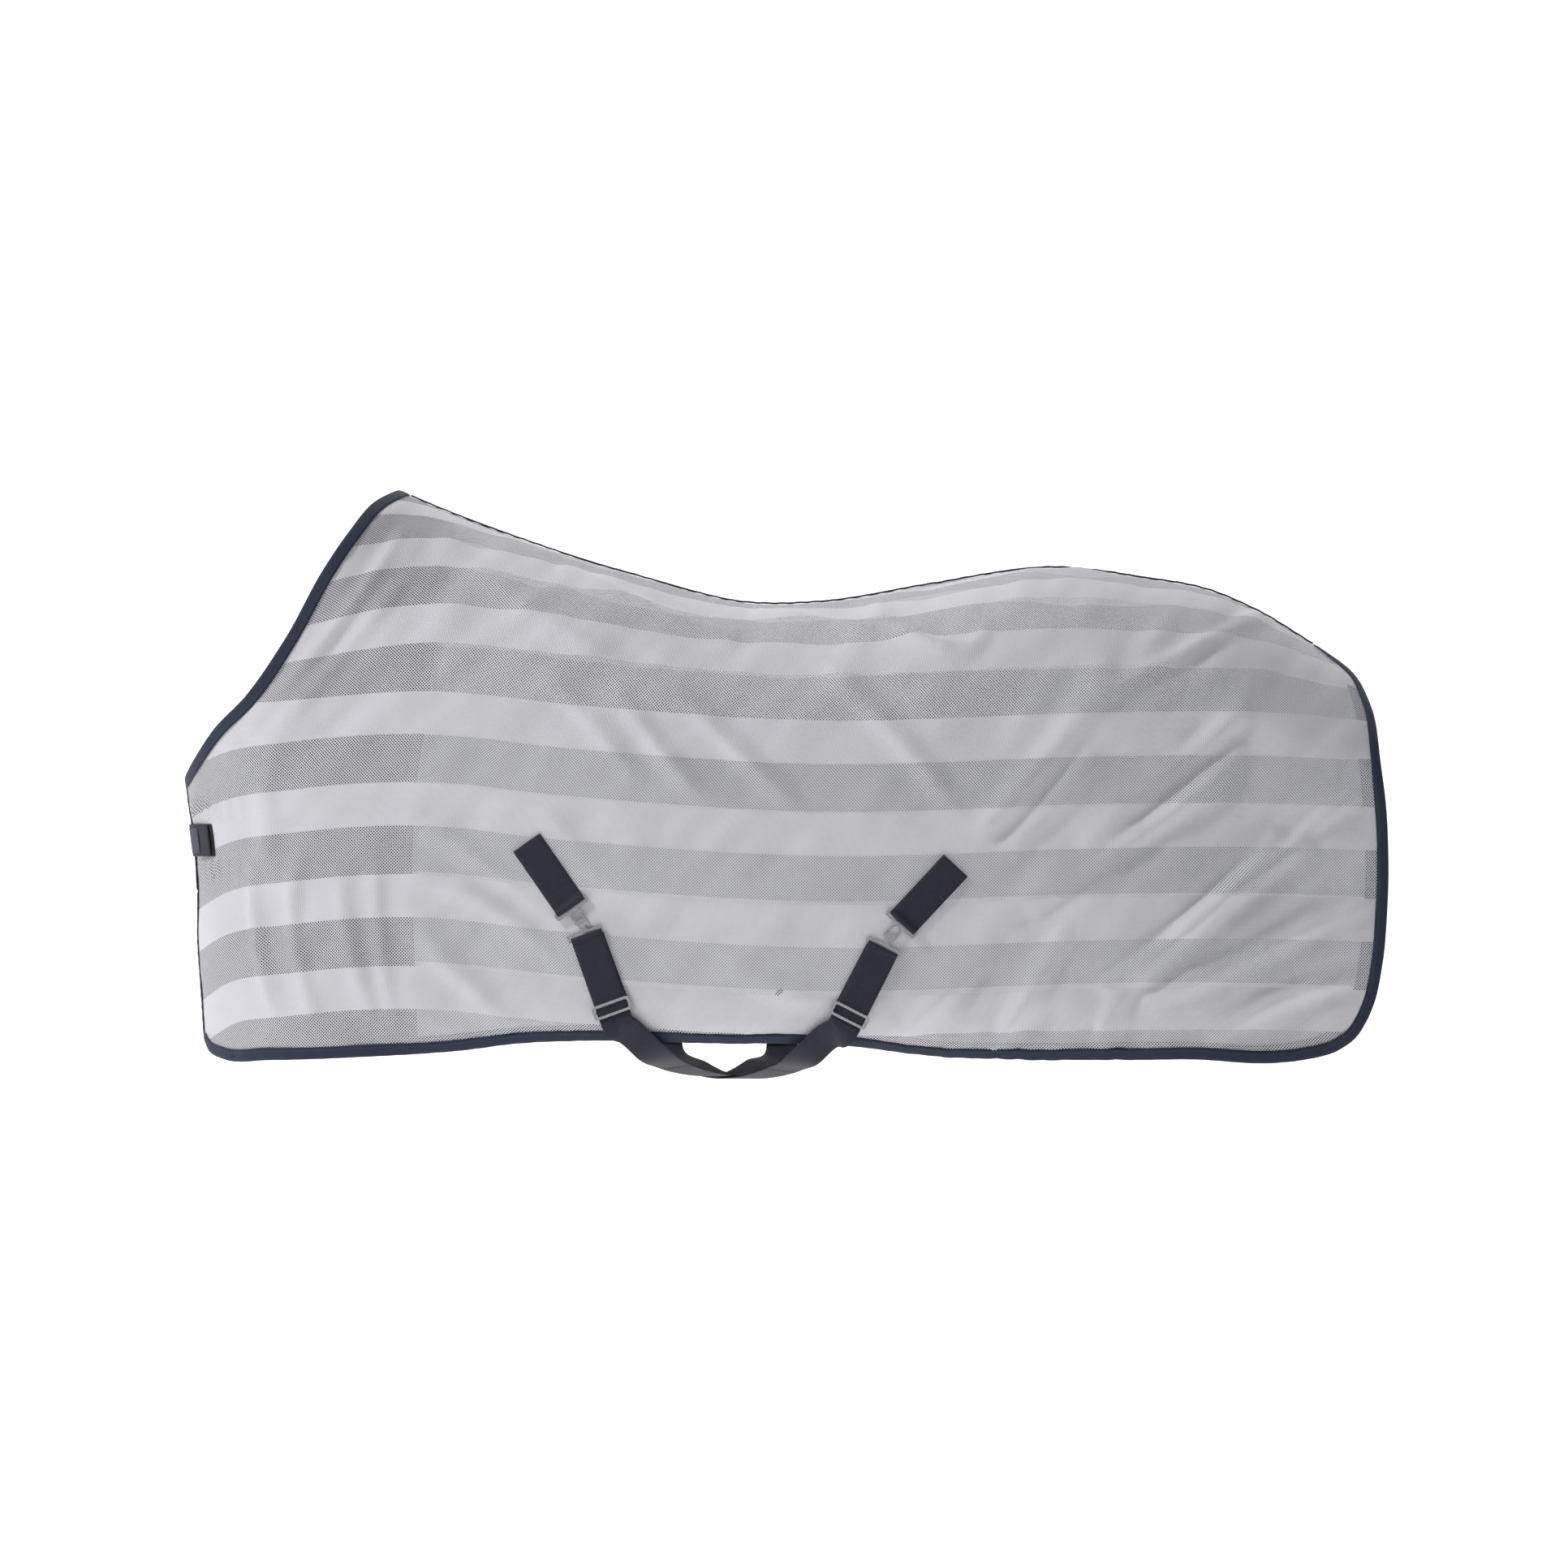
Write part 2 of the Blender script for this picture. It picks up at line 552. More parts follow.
def bound_edge(name, edge, inner, out):
    """A tape folded over an edge. edge and inner are points on the cloth, out its normals at the edge."""
    at = lengths(edge)
    inward = calmed(unit(square_to(inner - edge, directions(edge))))
    out = unit(square_to(calmed(out), inward))
    width = BINDING_WIDTH
    profile = [(width, 0.0017), (width * 0.7, 0.0022), (width * 0.4, 0.0023), (0.002, 0.0020),
               (-0.0008, 0.0013), (-0.0018, 0.0), (-0.0018, -0.0012), (-0.0008, -0.0024), (0.002, -0.0030),
               (width * 0.4, -0.0030), (width * 0.7, -0.0027), (width, -0.0021), (width, -0.0012),
               (0.0012, -0.0014), (0.0004, -0.0004), (0.0012, 0.0004), (width, 0.0004)]
    sections = []
    for k in range(len(edge)):
        pucker = 0.00035 * sin(at[k] * 2 * pi / 0.017) + 0.0007 * noise.noise((at[k] * 26, 1.7, 0.3))
        wide = 1 + 0.05 * noise.noise((at[k] * 9, 4.1, 2.2))
        raised = [(a, b + (pucker if a > 0.003 and b > 0.0005 else 0)) for a, b in profile]
        sections.append([edge[k] + inward[k] * a * wide + out[k] * b for a, b in raised])
    around = [abs(a) for a, _ in profile]
    return loft(name, sections, BINDING, at, around)


# ---- materials


class Graph:
    """Short names for building a material's nodes."""

    def __init__(self, name, colour, roughness, metallic=0.0):
        self.material = bpy.data.materials.new(name)
        self.material.use_nodes = True
        self.tree = self.material.node_tree
        self.shader = self.tree.nodes["Principled BSDF"]
        self.output = self.tree.nodes["Material Output"]
        self.shader.inputs["Base Color"].default_value = (*colour, 1)
        self.shader.inputs["Roughness"].default_value = roughness
        self.shader.inputs["Metallic"].default_value = metallic
        self.material.diffuse_color = (*colour, 1)

    def node(self, kind, **settings):
        made = self.tree.nodes.new(kind)
        for key, value in settings.items():
            setattr(made, key, value)
        return made

    def link(self, source, target):
        self.tree.links.new(source, target)

    def math(self, operation, a, b=None, c=None):
        made = self.node("ShaderNodeMath", operation=operation)
        for slot, value in zip(made.inputs, (a, b, c)):
            if isinstance(value, (int, float)):
                slot.default_value = value
            elif value is not None:
                self.link(value, slot)
        return made.outputs[0]

    def cloth(self):
        """The cloth coordinates, in metres, as two numbers."""
        uv = self.node("ShaderNodeUVMap", uv_map="cloth")
        split = self.node("ShaderNodeSeparateXYZ")
        self.link(uv.outputs[0], split.inputs[0])
        return uv.outputs[0], split.outputs[0], split.outputs[1]

    def noise(self, vector, scale, detail=2.0, roughness=0.5):
        made = self.node("ShaderNodeTexNoise")
        made.inputs["Scale"].default_value = scale
        made.inputs["Detail"].default_value = detail
        made.inputs["Roughness"].default_value = roughness
        self.link(vector, made.inputs["Vector"])
        return made.outputs[0]

    def wave(self, value, period):
        """A wave from 0 to 1."""
        sine = self.math("SINE", self.math("MULTIPLY", value, 2 * pi / period))
        return self.math("MULTIPLY_ADD", sine, 0.5, 0.5)

    def mix(self, share, first, second):
        made = self.node("ShaderNodeMix", data_type="RGBA")
        for slot, value in ((made.inputs[0], share), (made.inputs[6], first), (made.inputs[7], second)):
            if isinstance(value, (int, float)):
                slot.default_value = value
            elif isinstance(value, tuple):
                slot.default_value = (*value, 1)
            else:
                self.link(value, slot)
        return made.outputs[2]

    def bump(self, height, distance, strength=1.0):
        made = self.node("ShaderNodeBump")
        made.inputs["Distance"].default_value = distance
        made.inputs["Strength"].default_value = strength
        self.link(height, made.inputs["Height"])
        self.link(made.outputs[0], self.shader.inputs["Normal"])


def net_material():
    """White-grey cloth: bands of open diamond net between bands of fine solid ribbing."""
    g = Graph("net_cloth", (0.62, 0.62, 0.66), 0.62)
    vector, along, across = g.cloth()
    place = g.math("ADD", g.math("DIVIDE", across, BAND_PERIOD), 100.5)
    in_period = g.math("ABSOLUTE", g.math("SUBTRACT", g.math("FRACT", place), 0.5))
    ragged = g.math("MULTIPLY", g.math("SUBTRACT", g.noise(vector, 260, 1), 0.5), 0.012)
    is_net = g.math("LESS_THAN", g.math("ADD", in_period, ragged), NET_SHARE / 2)
    s = g.math("DIVIDE", g.math("ADD", along, across), MESH_PITCH)
    t = g.math("DIVIDE", g.math("SUBTRACT", along, across), MESH_PITCH)
    hole_s = g.math("ABSOLUTE", g.math("SUBTRACT", g.math("FRACT", g.math("ADD", s, 1000)), 0.5))
    hole_t = g.math("ABSOLUTE", g.math("SUBTRACT", g.math("FRACT", g.math("ADD", t, 1000)), 0.5))
    inside = g.math("MAXIMUM", hole_s, hole_t)
    hole = g.math("MULTIPLY", g.math("LESS_THAN", inside, HOLE_EDGE), is_net)
    inner_face = g.node("ShaderNodeNewGeometry").outputs["Backfacing"]
    open_hole = g.math("MULTIPLY", hole, g.math("SUBTRACT", 1.0, inner_face))
    ribs = g.wave(along, 0.0027)
    cross = g.wave(across, 0.0040)
    weave = g.math("MULTIPLY_ADD", cross, 0.35, ribs)
    yarn = g.math("SMOOTH_MIN", g.math("MULTIPLY", inside, 3.0), 1.4, 0.2)
    height = g.math("ADD", g.math("MULTIPLY", weave, g.math("SUBTRACT", 1.0, is_net)),
                    g.math("MULTIPLY", yarn, is_net))
    g.bump(height, 0.00045, 0.7)
    mottle = g.noise(vector, 14, 4)
    solid = g.mix(mottle, (0.585, 0.585, 0.625), (0.665, 0.665, 0.705))
    ribbed = g.mix(g.math("MULTIPLY", g.math("SUBTRACT", 1.0, ribs), 0.22), solid, (0.36, 0.36, 0.40))
    net = g.mix(mottle, (0.66, 0.66, 0.70), (0.74, 0.74, 0.78))
    inside_net = g.math("MULTIPLY", inner_face, is_net)
    colour = g.mix(inside_net, g.mix(is_net, ribbed, net), (0.30, 0.305, 0.325))
    g.link(colour, g.shader.inputs["Base Color"])
    g.shader.inputs["Sheen Weight"].default_value = 0.25
    g.shader.inputs["Sheen Roughness"].default_value = 0.4
    clear = g.node("ShaderNodeBsdfTransparent")
    blend = g.node("ShaderNodeMixShader")
    g.link(open_hole, blend.inputs[0])
    g.link(g.shader.outputs[0], blend.inputs[1])
    g.link(clear.outputs[0], blend.inputs[2])
    g.link(blend.outputs[0], g.output.inputs["Surface"])
    return g.material


def lining_material():
    """Dark smooth lining with a fine crosswise weave."""
    g = Graph("dark_lining", (0.030, 0.031, 0.036), 0.42)
    vector, along, across = g.cloth()
    weave = g.math("MULTIPLY", g.wave(along, 0.0016), g.wave(across, 0.0016))
    g.bump(weave, 0.0002, 0.5)
    colour = g.mix(g.noise(vector, 9, 3), (0.016, 0.017, 0.020), (0.036, 0.037, 0.042))
    g.link(colour, g.shader.inputs["Base Color"])
    g.shader.inputs["Sheen Weight"].default_value = 0.3
    return g.material


def woven_material(name, dark, light, rib, seams=()):
    """Woven tape: ribs, cross threads, and rows of stitches at these distances from its edge line."""
    g = Graph(name, light, 0.75)
    vector, along, across = g.cloth()
    ribs = g.wave(along, rib)
    threads = g.wave(g.math("ADD", across, g.math("MULTIPLY", along, 0.5)), rib * 0.9)
    weave = g.math("MULTIPLY_ADD", threads, 0.6, ribs)
    shade = g.math("MULTIPLY_ADD", g.noise(vector, 60, 5), 0.7, g.math("MULTIPLY", weave, 0.25))
    colour = g.mix(shade, dark, light)
    height = weave
    for seam in seams:
        near = g.math("LESS_THAN", g.math("ABSOLUTE", g.math("SUBTRACT", across, seam)), 0.00055)
        dash = g.math("LESS_THAN", g.math("FRACT", g.math("DIVIDE", along, 0.0032)), 0.72)
        thread = g.math("MULTIPLY", near, dash)
        pale = tuple(min(1, c * 2.2 + 0.01) for c in light)
        colour = g.mix(g.math("MULTIPLY", thread, 0.55), colour, pale)
        height = g.math("ADD", height, g.math("MULTIPLY", thread, 2.0))
    g.link(colour, g.shader.inputs["Base Color"])
    g.bump(height, 0.00025, 0.8)
    g.shader.inputs["Sheen Weight"].default_value = 0.04
    return g.material


def object_coordinates(g):
    return g.node("ShaderNodeTexCoord").outputs["Object"]


def metal_material():
    """Nickel-plated pressed steel, with faint scuffs."""
    g = Graph("buckle_nickel", (0.80, 0.81, 0.83), 0.22, 1.0)
    where = object_coordinates(g)
    scuffs = g.noise(where, 420, 4, 0.6)
    g.link(g.math("MULTIPLY_ADD", scuffs, 0.22, 0.12), g.shader.inputs["Roughness"])
    colour = g.mix(g.noise(where, 90, 3), (0.74, 0.75, 0.77), (0.86, 0.87, 0.89))
    g.link(colour, g.shader.inputs["Base Color"])
    g.bump(scuffs, 0.00006, 0.35)
    return g.material


def pile_material():
    """Black hook-and-loop pile."""
    g = Graph("hook_and_loop", (0.008, 0.008, 0.010), 0.95)
    where = object_coordinates(g)
    fuzz = g.noise(where, 1500, 3, 0.7)
    g.link(g.mix(fuzz, (0.003, 0.003, 0.004), (0.022, 0.022, 0.026)), g.shader.inputs["Base Color"])
    g.bump(fuzz, 0.0006, 0.9)
    return g.material


NET = net_material()
LINING = lining_material()
BINDING = woven_material("navy_binding", (0.0055, 0.010, 0.028), (0.0125, 0.021, 0.052), 0.0016, (0.0125,))
TAPE = woven_material("navy_tape", (0.0055, 0.010, 0.028), (0.0125, 0.021, 0.052), 0.0016, (-0.0095, 0.0095))
WEBBING = woven_material("navy_webbing", (0.0045, 0.005, 0.014), (0.0105, 0.011, 0.027), 0.0021)
LABEL = woven_material("woven_label", (0.022, 0.026, 0.065), (0.040, 0.046, 0.100), 0.0012)
METAL = metal_material()
PILE = pile_material()
THREAD = woven_material("sewing_thread", (0.012, 0.014, 0.035), (0.028, 0.032, 0.070), 0.0006)


# ---- cloth, linings and bindings


def declare(piece, slot, body, *nodes):
    """The piece's slot, the model's nodes that it replaces and the body that it rides on."""
    if nodes:
        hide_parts(*nodes)
    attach(piece, body)


def flap_bend(thing):
    """The cloth bends along the fold where the chest flap opens."""
    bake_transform(thing)


def boundary(grid, rows, columns, inner_rows, inner_columns):
    """Edge points of a grid, points of the cloth just inside them, and the normals."""
    points, out = grid
    rows, columns = np.broadcast_arrays(rows, columns)
    return points[rows, columns], points[inner_rows, inner_columns], out[rows, columns]


def calmed(vectors, reach=4):
    """Directions averaged with their neighbours along a run."""
    padded = np.concatenate([vectors[:1].repeat(reach, 0), vectors, vectors[-1:].repeat(reach, 0)])
    made = sum(padded[k:k + len(vectors)] for k in range(2 * reach + 1))
    return unit(made)


def make_cloth(plans):
    nets = []
    for side, word in SIDES:
        laid = lay_cloth(plans, side)
        flips = [side == LEFT, side != LEFT, side != LEFT]
        parts = [(g["points"], g["along"], g["across"]) for g in laid]
        net = merged_grids(f"net_{word}", parts, flips, NET)
        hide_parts(f"side_panel_{word}", f"shoulder_panel_{word}", f"chest_flap_{word}")
        flap_bend(net)
        grids = [(g["points"], grid_normals(g["points"], side)) for g in laid]
        nets.append(net)
        make_lining(laid, grids, side, word)
        make_edge_binding(grids, side, word)
    return nets


LINING_DEPTH = 0.0046


def make_lining(laid, grids, side, word):
    parts = []
    for k in (1, 2):
        points, out = grids[k]
        sunk = points - out * LINING_DEPTH
        sunk[..., 1] = side * np.maximum(side * sunk[..., 1], 0.0010)
        parts.append([sunk, laid[k]["along"], laid[k]["across"]])
    parts[1][0][:, 0] = parts[0][0][NECK_ROWS:, -1]
    shoulder, flap = parts
    parts = [[grid[1:-1] for grid in shoulder], [grid[:-1] for grid in flap]]
    lining = merged_grids(f"dark_lining_{word}", parts, [side != LEFT] * 2, LINING)
    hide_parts(f"shoulder_lining_{word}", f"chest_lining_{word}")
    flap_bend(lining)


def make_edge_binding(grids, side, word):
    """One tape from the wither down the neckline and the chest edge, along the hem and up the rear edge."""
    side_grid, shoulder, flap = grids
    last = shoulder[0].shape[0] - 1
    low = flap[0].shape[0] - 1
    right = flap[0].shape[1] - 1
    fold = shoulder[0].shape[1] - 1
    tail = side_grid[0].shape[1] - 1

    neck_rows, top_columns = np.arange(NECK_ROWS), np.arange(right)
    chest_rows, flap_columns = np.arange(1, low), np.arange(right - 1, 0, -1)
    shoulder_columns, side_columns = np.arange(fold, 0, -1), np.arange(tail - 1)
    rear_rows = np.arange(last - 1, -1, -1)
    runs = [
        boundary(shoulder, neck_rows, fold, neck_rows, fold - 3),
        boundary(flap, 0, top_columns, 3, np.minimum(top_columns, right - 3)),
        boundary(flap, chest_rows, right, np.clip(chest_rows, 3, low - 3), right - 3),
        boundary(flap, low, flap_columns, low - 3, np.minimum(flap_columns, right - 3)),
        boundary(shoulder, last, shoulder_columns, last - 3, shoulder_columns),
        boundary(side_grid, last, side_columns, last - 3, np.minimum(side_columns, tail - 3)),
        boundary(side_grid, rear_rows, tail, np.minimum(rear_rows, last - 3), tail - 3),
    ]
    edge, inner, out = (np.concatenate([part[k] for part in runs]) for k in range(3))
    tape = bound_edge(f"edge_binding_{word}", edge, inner, out)
    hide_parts(f"hem_binding_{word}", f"chest_binding_{word}", "neck_binding", "rear_binding")
    flap_bend(tape)


def make_spine_tape():
    """The tape over the seam along the spine."""
    sections = []
    x = np.linspace(-0.548, 0.856, 260)
    centres = np.stack([x, np.zeros_like(x), read(SPINE_CURVE, x)], axis=1)
    at = lengths(centres)
    shares = np.linspace(-1, 1, 7)
    for k, centre in enumerate(centres):
        over, under = [], []
        ripple = 0.0004 * sin(at[k] * 2 * pi / 0.026) + 0.0008 * noise.noise((at[k] * 15, 7.7, 1.0))
        for share in shares:
            y = share * SPINE_TAPE_WIDTH / 2
            full = BODY_HALF_WIDTH * read(WIDTH_CURVE, centre[0])
            drop = (1 - np.sqrt(1 - min(1, abs(y) / full) ** 2)) * read(ROUNDING_CURVE, centre[0])
            over.append((centre[0], y, centre[2] - drop + 0.0032 + ripple * abs(share)))
            under.append((centre[0], y, centre[2] - drop + 0.0007 + ripple * abs(share)))
        sections.append(over + under[::-1])
    around = [share * SPINE_TAPE_WIDTH / 2 for share in shares]
    tape = loft("spine_seam_tape", sections, TAPE, at, around + around[::-1])
    declare(tape, "binding", "root", "spine_tape")


# ---- chest closure


def chest_point(y, z):
    low = chest_x(z)
    high = low + CHEST_ROUNDING * 0.95
    for _ in range(40):
        middle = (low + high) / 2
        if half_width(middle, z) < abs(y):
            low = middle
        else:
            high = middle
    return (low + high) / 2


def chest_place(y, z):
    """A place on the front of the chest and its outward normal."""
    x = chest_point(max(abs(y), 0.002), z)
    out = normals(np.array(x), np.array(z), LEFT if y < 0 else RIGHT)
    if abs(y) < CHEST_BLEND:
        out[1] *= abs(y) / CHEST_BLEND
        out = out / np.linalg.norm(out)
    return np.array([x, y, z]), out


def chest_strip(name, ends, height, lift, ply, material):
    """A strip with rounded edges laid round the front of the chest between two values of y."""
    steps = 44
    sections, ys = [], np.linspace(*ends, steps + 1)
    soft = ply * 0.5 / height
    levels = np.concatenate([[0.5], np.linspace(0.5 - soft, -0.5 + soft, 9), [-0.5]])
    for k, y in enumerate(ys):
        inside, outside = [], []
        end = min(k, steps - k)
        shrink = (0.35 if end == 0 else 0.10 if end == 1 else 0.0) * ply
        for index, level in enumerate(levels):
            place, out = chest_place(y, TAB_Z + level * height)
            edge = 0.30 * ply if index in (0, len(levels) - 1) else 0.0
            inside.append(place + out * (lift(y) + edge + shrink))
            outside.append(place + out * (lift(y) + ply - edge - shrink))
        sections.append([*inside, *outside[::-1]])
    along = np.abs(ys - ys[0])
    around = [level * height for level in levels]
    return loft(name, sections, material, along, around + around[::-1])


def stitch_row(points, outs):
    """Short raised threads along a path, as vertices and faces."""
    length, gap, radius = 0.0030, 0.0012, 0.00032
    points = np.array(points, float)
    at = lengths(points)
    vertices, faces = [], []
    start = 0.0
    while start + length < at[-1]:
        where = np.linspace(start, start + length, 4)
        line = pick(points, at, where)
        out = unit(pick(np.array(outs, float), at, where))
        wide = np.cross(directions(line), out)
        base = len(vertices)
        for k, size in enumerate((0.45, 1.0, 1.0, 0.45)):
            rise = radius * (0.1 if size < 1 else 0.8)
            for j in range(6):
                turn = 2 * pi * j / 6
                up = rise + radius * size * sin(turn)
                vertices.append(line[k] + out[k] * up + wide[k] * radius * size * cos(turn))
        faces.append(tuple(base + j for j in range(6))[::-1])
        faces.append(tuple(base + 18 + j for j in range(6)))
        for k in range(3):
            for j in range(6):
                n = (j + 1) % 6
                a = base + 6 * k
                faces.append((a + j, a + n, a + 6 + n, a + 6 + j))
        start += length + gap
    return vertices, faces


def stitching(name, rows, body):
    """All rows of stitches of one piece as one object."""
    vertices, faces = [], []
    for points, outs in rows:
        more, sides = stitch_row(points, outs)
        faces += [tuple(v + len(vertices) for v in face) for face in sides]
        vertices += more
    thing = new_object(name, vertices, faces, [(v[0], v[2]) for v in vertices], THREAD)
    declare(thing, "webbing", body)


def make_closure():
    base = SURFACE_GAP
    pad_ply, tab_ply, hook_ply, label_ply, gap = 0.0015, 0.0016, 0.0012, 0.0008, 0.0003
    on_pad = base + pad_ply + gap
    on_hook = on_pad + hook_ply + gap
    on_anchor = base + tab_ply + gap

    def tab_lift(y):
        return float(np.interp(y, [-0.026, 0.022], [on_hook + 0.0003, on_anchor + 0.0004]))

    def label_lift(y):
        return tab_lift(y) + tab_ply + gap

    layers = (
        ("chest_loop_patch", (-0.024, -0.098), TAB_HEIGHT, lambda y: base, pad_ply, PILE,
         "hook_tape", "chest_loop_pad", "chest_flap_left"),
        ("chest_hook_strip", (-0.030, -0.092), TAB_HEIGHT - 0.006, lambda y: on_pad, hook_ply, PILE,
         "hook_tape", "chest_hook_tape", "chest_tab"),
        ("chest_pull_tab", (0.064, -0.093), TAB_HEIGHT, tab_lift, tab_ply, WEBBING, "webbing", "chest_tab",
         "chest_tab"),
        ("chest_plain_label", (-0.012, -0.064), TAB_HEIGHT - 0.010, label_lift, label_ply, LABEL, "label",
         "chest_label", "chest_tab"),
        ("chest_tab_base", (0.104, 0.026), TAB_HEIGHT, lambda y: base, tab_ply, WEBBING, "webbing",
         "chest_tab_anchor", "chest_flap_right"),
    )
    for name, ends, height, lift, ply, material, slot, node, body in layers:
        strip = chest_strip(name, ends, height, lift, ply, material)
        declare(strip, slot, body, node)
    rows = []
    for level in (-0.5, 0.5):
        line, outs = [], []
        for y in np.linspace(0.060, -0.088, 40):
            place, out = chest_place(y, TAB_Z + level * (TAB_HEIGHT - 0.006))
            line.append(place + out * (tab_lift(y) + tab_ply))
            outs.append(out)
        rows.append((line, outs))
    stitching("chest_tab_stitching", rows, "chest_tab")


# ---- surcingles


def placed(matrix, points):
    turn = np.array(matrix.to_3x3())
    return np.array(points) @ turn.T + np.array(matrix.translation)


def looped_webbing(length, base, top):
    """Centre line and facing of webbing that goes round a bar at the origin: (down the strap, outward)."""
    radius = EYE_HOLE + WEBBING_PLY / 2
    start = np.arcsin(min(1, abs(base + WEBBING_PLY / 2) / radius))
    low = [(-t, base + WEBBING_PLY / 2) for t in np.linspace(length, radius + 0.004, 12)]
    turns = np.linspace(-pi + start + 0.5, pi - 0.55, 15)
    bend = [(radius * cos(t), radius * sin(t)) for t in turns]
    high = [(-t, top - WEBBING_PLY / 2) for t in np.linspace(radius + 0.004, length, 12)]
    return smooth(low + bend + high, 3)


def folded_ribbon(name, matrix, length, base, top, sway=0.0):
    """Doubled webbing round a bar at the frame's origin. It runs off along -Y of the frame."""
    line = looped_webbing(length, base, top)
    tangent = directions(line)
    outs = np.stack([-tangent[:, 1], tangent[:, 0]], axis=1)
    under = np.linspace(1, 0, len(line)) ** 1.5
    centres = [(sway * u, along, out) for (along, out), u in zip(line, under)]
    facing = [(0, b, c) for b, c in outs]
    return ribbon(name, placed(matrix, centres), np.array(facing) @ np.array(matrix.to_3x3()).T)


def box_stitches(matrix, low, high, half, top):
    """Rows of stitches round a box on a strap, and its diagonals, in the strap's frame."""
    corners = [(-half, low), (half, low), (half, high), (-half, high), (-half, low)]
    lines = [(corners[k], corners[k + 1]) for k in range(4)]
    lines += [(corners[0], corners[2]), (corners[1], corners[3])]
    rows = []
    out = np.array(matrix.to_3x3().col[2])
    for a, b in lines:
        steps = np.linspace(0, 1, 12)
        points = [(a[0] + (b[0] - a[0]) * s, a[1] + (b[1] - a[1]) * s, top) for s in steps]
        rows.append((placed(matrix, points), [out] * len(steps)))
    return rows


def make_strap(word, data):
    x, z = data["head"]
    base = skin_frame(x, z, data["patch"])
    head = base @ Matrix.Translation((0, 0, BAR_LEVEL))
    lower_bar = head @ Matrix.Translation((0, TONGUE_REACH, 0))
    eye = lower_bar @ Matrix.Translation((0, RING_HEIGHT, 0))
    foot = SURFACE_GAP - BAR_LEVEL
    flipped = eye @ Matrix.Rotation(pi, 4, "Z")
    top = foot + 2.1 * WEBBING_PLY
    sewn = folded_ribbon(f"{word}_patch_webbing", flipped, PATCH_LENGTH - 0.004, foot, top)
    declare(sewn, "webbing", "root", f"{word}_patch")
    rows = box_stitches(flipped, -PATCH_LENGTH + 0.010, -0.034, 0.0205, top)
    stitching(f"{word}_patch_stitching", rows, "root")

    turn = Matrix.Rotation(radians(data["strap"] - data["patch"]), 4, "Z")
    hook_at = head @ turn
    strap_bar = hook_at @ Matrix.Translation((0, -HOOK_REACH - RING_HEIGHT, 0))
    length = data["drop"] + SLIDER_DEPTH / 2 - 0.001
    sway = 0.0035 if word == "front" else -0.0030
    half = WEBBING_PLY * 1.05
    loop = folded_ribbon(f"{word}_loop_webbing", strap_bar, length, -half, half, sway)
    declare(loop, "webbing", f"{word}_hook", f"{word}_strap_loop")
    end = strap_bar @ Matrix.Translation((0, -length - SURFACE_GAP, 0))
    return {"end": end, "sewn": base @ Matrix.Translation((0, TONGUE_REACH, 0))}


def round_the_hem(x, side, lean=0.0):
    """Where a belly strap passes over the hem: a place and facing above its edge, and one under it."""
    low = read(HEM_CURVE, x)
    edge = half_width(np.array(x), np.array(low))
    over = draped((x, low + 0.014), side)
    out = normals(np.array(x), np.array(low + 0.014), side)
    above = (over + out * STRAP_OVER_HEM, out)
    under = np.array([x + lean, side * (edge + 0.0062), low - 0.0155])
    below = (under, np.array([0.0, side * 0.75, -0.66]))
    return above, below


def belly_path(word, start, far):
    """The belly strap's course from the slider under the belly to its sewn end on the right side."""
    begin, begin_out = np.array(start.translation), np.array(start.to_3x3().col[2])
    down = -np.array(start.to_3x3().col[1])
    cross_x, cross_z = CROSSING[word]
    cross = np.array([cross_x, 0.0, cross_z])
    near_x = begin[0] + down[0] / abs(down[2]) * (begin[2] - read(HEM_CURVE, begin[0]))
    lean = np.copysign(BELLY_LEAN, cross[0] - near_x)
    near_x += lean / 2
    end = np.array(far.translation)
    end[1] = -end[1]
    far_down = -np.array(far.to_3x3().col[1])
    far_x = end[0] + far_down[0] / abs(far_down[2]) * (end[2] - read(HEM_CURVE, end[0]))

    def under(x, side):
        width = half_width(np.array(x), np.array(read(HEM_CURVE, x)))
        place = np.array([x * 0.6 + cross[0] * 0.4, side * 0.60 * width, cross[2] + 0.017])
        return place, np.array([0.0, side * 0.35, -0.94])

    points = [(begin, begin_out), (begin + down * 0.005, begin_out), (begin + down * 0.013, begin_out)]
    points += [*round_the_hem(near_x, LEFT, lean), under(near_x + lean / 2, LEFT),
               (cross, np.array([0.0, 0.0, -1.0])), under(far_x, RIGHT),
               *round_the_hem(far_x, RIGHT)[::-1]]
    low = np.array([far_x, read(HEM_CURVE, far_x) + 0.040])
    high = np.array([end[0], end[2]])
    rise = (high - low) / np.linalg.norm(high - low)
    for at, lift in ((low, SEWN_LIFT + 0.0020), (low * 0.5 + high * 0.5, SEWN_LIFT + 0.0004),
                     (high, SEWN_LIFT), (high + rise * 0.045, SEWN_LIFT), (high + rise * 0.090, SEWN_LIFT)):
        out = normals(np.array(at[0]), np.array(at[1]), RIGHT)
        points.append((draped(at, RIGHT) + out * lift, out))
    return points


